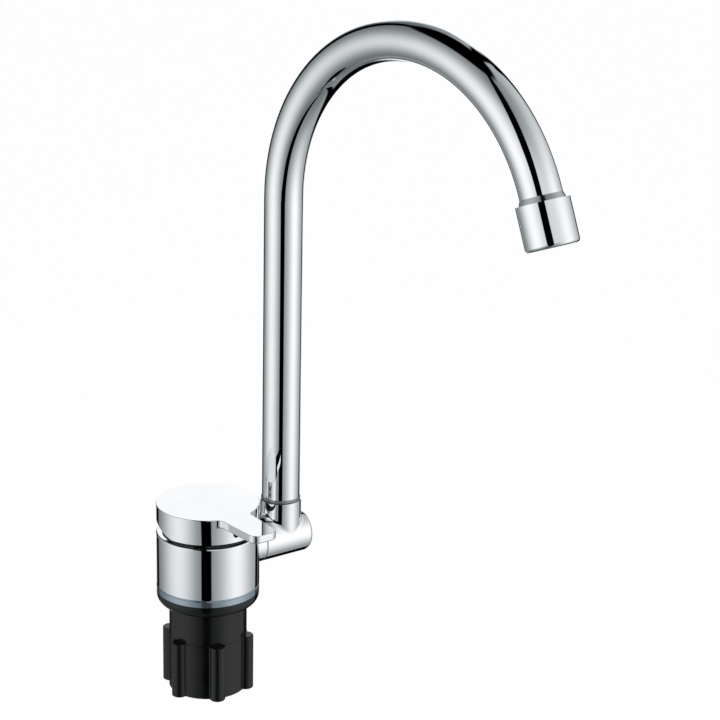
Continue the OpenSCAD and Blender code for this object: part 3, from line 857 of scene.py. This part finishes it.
@dataclass(frozen=True)
class Panel:
    """A white panel of the light tent, with angles in degrees from the camera.

    Attributes:
        azimuth: Middle of the panel, round the upright.
        spread: Width over which it fades.
        elevation: Middle of the panel, above the horizon.
        rise: Height over which it fades.
        level: Its brightness in the middle.
        share: Share of the brightness that fades with height.
    """

    azimuth: float
    spread: float
    elevation: float
    rise: float
    level: float
    share: float

    def glow(self, tree: Tree, azimuth: Socket, elevation: Socket) -> Socket:
        """Gives the panel's light in a direction.

        Args:
            tree: The world's tree.
            azimuth: Angle round the upright, from the camera to the right.
            elevation: Angle above the horizon.

        Returns:
            The brightness.
        """
        fade = tree.bell(elevation, self.elevation, self.rise)
        tall = tree.calc("MULTIPLY_ADD", fade, self.share, 1 - self.share)
        wide = tree.calc("MULTIPLY", tree.bell(azimuth, self.azimuth, self.spread), self.level)
        return tree.calc("MULTIPLY", wide, tall)


@dataclass(frozen=True)
class Flag:
    """A black strip of the light tent that leans, with angles in degrees from the camera.

    Attributes:
        foot: Azimuths of its two sides at its lower height.
        head: Azimuths of its two sides at its upper height.
        heights: The lower and the upper height. Beyond them it runs on upright.
        edge: Half the width of its soft sides.
        reach: Elevations where it ends below: black at the second, clear at the first.
    """

    foot: Pair
    head: Pair
    heights: Pair
    edge: float
    reach: Pair = (-180.0, -179.0)

    def shade(self, tree: Tree, azimuth: Socket, elevation: Socket) -> Socket:
        """Gives what the flag lets through in a direction.

        Args:
            tree: The world's tree.
            azimuth: Angle round the upright, from the camera to the right.
            elevation: Angle above the horizon.

        Returns:
            A factor from 0, black, to 1.
        """
        lean = tree.add("ShaderNodeMapRange")
        lean.inputs["From Min"].default_value, lean.inputs["From Max"].default_value = self.heights
        tree.join(elevation, lean.inputs["Value"])
        middle, half = [
            tree.calc("MULTIPLY_ADD", lean.outputs["Result"], high - low, low)
            for low, high in (
                (sum(self.foot) / 2, sum(self.head) / 2),
                ((self.foot[1] - self.foot[0]) / 2, (self.head[1] - self.head[0]) / 2),
            )
        ]
        away = tree.calc("ABSOLUTE", tree.calc("SUBTRACT", azimuth, middle))
        clear = tree.step(tree.calc("SUBTRACT", away, half), -self.edge, self.edge)
        return tree.calc("MAXIMUM", clear, tree.step(elevation, self.reach[1], self.reach[0]))


@dataclass(frozen=True)
class Disc:
    """A round black part of the light tent, by its direction and the cosines of its soft edge."""

    towards: Triple
    edge: Pair

    def shade(self, tree: Tree, direction: tuple[Socket, ...]) -> Socket:
        """Gives what the disc lets through in a direction.

        Args:
            tree: The world's tree.
            direction: Parts of the direction towards the camera, to its right and up.

        Returns:
            A factor from 0, black, to 1.
        """
        near = tree.calc("MULTIPLY", direction[0], self.towards[0])
        for part, share in zip(direction[1:], self.towards[1:]):
            near = tree.calc("MULTIPLY_ADD", part, share, near)
        return tree.step(near, *self.edge)


@dataclass(frozen=True)
class LightTent:
    """The white tent with black flags that polished metal mirrors, with angles in degrees from the camera.

    Attributes:
        left: Panel on the left.
        right: Panel on the right.
        front: Panel over the camera.
        upper: Dim panel high on the right, behind the tap.
        fill: Level everywhere, before the panels.
        fill_swing: How much lighter the fill is on the right, and darker on the left.
        swing_gain: How fast the fill goes over from one to the other.
        flags: Black strips.
        front_shade: Share by which the level sinks towards the camera.
        front_spread: Width over which that fades.
        discs: Round black parts.
        backdrop_azimuth: Where the white backdrop behind the tap begins, on either side.
        backdrop_foot: Elevations over which it begins.
        backdrop_head: Elevations over which it ends, from the top.
        backdrop_level: Its level.
        pit: Elevations over which the level rises from that of the pit.
        pit_level: Level of the pit straight below the tap.
        low_tint: Colour of the darkest parts.
        high_tint: Colour of the white parts.
    """

    left: Panel = Panel(-63, 47, -4.4, 38.7, 0.91, 0.9)
    right: Panel = Panel(71, 37, -3.8, 49.6, 0.76, 1.19)
    front: Panel = Panel(0, 48, 24, 24, 0.5, 1.0)
    upper: Panel = Panel(118, 40, 30, 30, 0.26, 1.0)
    fill: float = 0.255
    fill_swing: float = 0.105
    swing_gain: float = 3.0
    flags: tuple[Flag, ...] = (
        Flag((-10, 12.8), (-32, 1), (-23, 25), 1.2),
        Flag((-152, -136), (-152, -136), (-10, 10), 2.0, (-34, -24)),
        Flag((136, 150), (146, 162), (-15, 10), 2.0),
    )
    front_shade: float = 0.36
    front_spread: float = 34.0
    discs: tuple[Disc, ...] = (
        Disc((-0.25, -0.17, 0.953), (0.925, 0.885)),
        Disc((-0.74, 0.198, -0.643), (0.961, 0.9135)),
    )
    backdrop_azimuth: Pair = (156, 163)
    backdrop_foot: Pair = (-54, -42)
    backdrop_head: Pair = (40, 22)
    backdrop_level: float = 1.045
    pit: Pair = (-88, -42)
    pit_level: float = 0.2
    low_tint: Triple = (0.86, 0.96, 1.0)
    high_tint: Triple = (0.985, 0.99, 1.0)

    def paint(self, tree: Tree, facing: float) -> Socket:
        """Gives the tent's colour in every direction.

        Args:
            tree: The world's tree.
            facing: Azimuth of the camera in the row frame, in radians.

        Returns:
            The colour.
        """
        place = tree.add("ShaderNodeTexCoord")
        turn = tree.add("ShaderNodeVectorRotate", rotation_type="Z_AXIS")
        turn.inputs["Angle"].default_value = -facing
        split = tree.add("ShaderNodeSeparateXYZ")
        tree.join(place.outputs["Generated"], turn.inputs["Vector"])
        tree.join(turn.outputs["Vector"], split.inputs["Vector"])
        ahead, across, upward = (split.outputs[name] for name in "XYZ")
        round_angle = tree.calc("ARCTAN2", across, ahead)
        azimuth = tree.calc("MULTIPLY", round_angle, math.degrees(1))
        elevation = tree.calc("MULTIPLY", tree.calc("ARCSINE", upward), math.degrees(1))
        swing = tree.calc("MULTIPLY", tree.calc("SINE", round_angle), self.swing_gain)
        swing = tree.calc("MAXIMUM", tree.calc("MINIMUM", swing, 1.0), -1.0)
        level = tree.calc("MULTIPLY_ADD", swing, self.fill_swing, self.fill)
        for panel in (self.left, self.right, self.upper):
            level = tree.calc("ADD", level, panel.glow(tree, azimuth, elevation))
        facing_front = tree.bell(azimuth, 0.0, self.front_spread)
        shaded = tree.calc("MULTIPLY_ADD", facing_front, -self.front_shade, 1.0)
        level = tree.calc("MULTIPLY_ADD", level, shaded, self.front.glow(tree, azimuth, elevation))
        above_pit = tree.step(elevation, *self.pit)
        over_pit_level = tree.calc("SUBTRACT", level, self.pit_level)
        level = tree.calc("MULTIPLY_ADD", over_pit_level, above_pit, self.pit_level)
        for flag in self.flags:
            level = tree.calc("MULTIPLY", level, flag.shade(tree, azimuth, elevation))
        level = tree.calc("MAXIMUM", level, 0.0)
        behind = tree.step(tree.calc("ABSOLUTE", azimuth), *self.backdrop_azimuth)
        over_foot = tree.step(elevation, *self.backdrop_foot)
        under_head = tree.step(elevation, *self.backdrop_head)
        backdrop = tree.calc("MULTIPLY", behind, tree.calc("MULTIPLY", over_foot, under_head))
        backdrop = tree.calc("MULTIPLY", backdrop, self.backdrop_level)
        level = tree.calc("MAXIMUM", level, backdrop)
        for disc in self.discs:
            level = tree.calc("MULTIPLY", level, disc.shade(tree, (ahead, across, upward)))
        tint = tree.add("ShaderNodeMix", data_type="RGBA")
        tint.inputs["A"].default_value = (*self.low_tint, 1)
        tint.inputs["B"].default_value = (*self.high_tint, 1)
        tree.join(level, tint.inputs["Factor"])
        colour = tree.add("ShaderNodeVectorMath", operation="SCALE")
        tree.join(tint.outputs["Result"], colour.inputs[0])
        tree.join(level, colour.inputs["Scale"])
        return colour.outputs["Vector"]


@dataclass(frozen=True)
class Lamp:
    """A soft square lamp, with its side in metres and its power in watts."""

    name: str
    place: Triple
    power: float
    side: float = 0.8

    def hang(self, target: Triple) -> None:
        """Hangs the lamp, out of the chrome's reflections.

        Args:
            target: The point that it faces.
        """
        data = bpy.data.lights.new(self.name, "AREA")
        data.size = self.side
        data.energy = self.power
        lamp = bpy.data.objects.new(self.name, data)
        aim = Vector(target) - Vector(self.place)
        turn = aim.to_track_quat("-Z", "Y").to_matrix().to_4x4()
        lamp.matrix_world = Matrix.Translation(self.place) @ turn
        lamp.visible_glossy = False
        bpy.context.scene.collection.objects.link(lamp)


@dataclass
class Studio:
    """Camera, pale floor, soft lamps and the white room that the chrome reflects."""

    eye: Triple = (-0.482, -0.7465, 0.3947)
    right: Triple = (0.7995, -0.6003, 0.0213)
    up: Triple = (0.1657, 0.2544, 0.9528)
    back: Triple = (-0.5774, -0.7582, 0.3028)
    lens: float = 102.9
    sensor: float = 36.0
    near_clip: float = 0.01
    floor_drop: float = 118 * MM
    floor_side: float = 8.0
    floor_grey: float = 0.9
    floor_white: float = 0.985
    lamps: tuple[Lamp, ...] = (
        Lamp("key_lamp", (-0.9, -0.5, 0.9), 6.0),
        Lamp("fill_lamp", (0.7, -0.9, 0.6), 4.0),
    )
    lamp_target: Triple = (0.03, -0.02, 0.08)

    def camera(self) -> None:
        """Sets the camera at the photograph's place."""
        data = bpy.data.cameras.new("photo_camera")
        data.sensor_fit = "HORIZONTAL"
        data.sensor_width = self.sensor
        data.lens = self.lens
        data.clip_start = self.near_clip
        camera = bpy.data.objects.new("photo_camera", data)
        turn = Matrix((self.right, self.up, self.back)).transposed()
        camera.matrix_world = Matrix.Translation(self.eye) @ turn.to_4x4()
        bpy.context.scene.collection.objects.link(camera)
        bpy.context.scene.camera = camera

    def room(self) -> None:
        """Builds the world: white to the camera, the light tent to the tap."""
        world = bpy.data.worlds.new("white_room")
        bpy.context.scene.world = world
        world.use_nodes = True
        tree = Tree(world.node_tree)
        tent = tree.add("ShaderNodeBackground")
        facing = math.atan2(self.back[1], self.back[0])
        tree.join(LightTent().paint(tree, facing), tent.inputs["Color"])
        white = tree.add("ShaderNodeBackground")
        white.inputs["Color"].default_value = WHITE
        path = tree.add("ShaderNodeLightPath")
        seen = tree.calc("MAXIMUM", path.outputs["Is Camera Ray"], path.outputs["Is Transmission Ray"])
        final = tree.add("ShaderNodeMixShader")
        tree.join(seen, final.inputs["Fac"])
        tree.join(tent.outputs["Background"], final.inputs[1])
        tree.join(white.outputs["Background"], final.inputs[2])
        out = tree.add("ShaderNodeOutputWorld")
        tree.join(final.outputs["Shader"], out.inputs["Surface"])

    def floor(self) -> None:
        """Lays a pale floor, out of the chrome's reflections and low enough for the folded hook."""
        bpy.ops.object.select_all(action="DESELECT")
        height = CAD_BOX[0][2] - self.floor_drop
        bpy.ops.mesh.primitive_plane_add(size=self.floor_side, location=(0, 0, height))
        floor = bpy.context.active_object
        floor.name = "pale_floor"
        made = bpy.data.materials.new("pale_floor")
        made.use_nodes = True
        tree = Tree(made.node_tree)
        matt = tree.add("ShaderNodeBsdfDiffuse")
        matt.inputs["Color"].default_value = (self.floor_grey, self.floor_grey, self.floor_grey, 1)
        white = tree.add("ShaderNodeEmission")
        white.inputs["Color"].default_value = WHITE
        path = tree.add("ShaderNodeLightPath")
        share = tree.calc("MULTIPLY", path.outputs["Is Camera Ray"], self.floor_white)
        mixed = tree.add("ShaderNodeMixShader")
        tree.join(share, mixed.inputs["Fac"])
        tree.join(matt.outputs["BSDF"], mixed.inputs[1])
        tree.join(white.outputs["Emission"], mixed.inputs[2])
        out = tree.add("ShaderNodeOutputMaterial")
        tree.join(mixed.outputs["Shader"], out.inputs["Surface"])
        floor.data.materials.append(made)
        floor.visible_glossy = False
        floor.visible_shadow = False

    def build(self) -> None:
        """Builds the camera, the room, the floor and the lamps."""
        bpy.context.scene.view_settings.view_transform = "Standard"
        self.camera()
        self.room()
        self.floor()
        for lamp in self.lamps:
            lamp.hang(self.lamp_target)


def main() -> None:
    """Builds the studio and the dressed pieces in order."""
    logging.basicConfig(level=logging.INFO, format="%(name)s: %(message)s")
    Studio().build()
    CadFinishes().dress()
    fixing = DeckFixing()
    for piece in (
        Handle().build(),
        ValveBody().build(),
        DomeCover().build(),
        ElbowSaddle().build(),
        SlipRing().build(),
        BaseRing().build(),
        ClampWasher().build(),
        fixing.nut(),
        fixing.shank(),
    ):
        LOG.info("%s: %d faces", piece.name, len(piece.data.polygons))


if __name__ == "__main__":
    main()
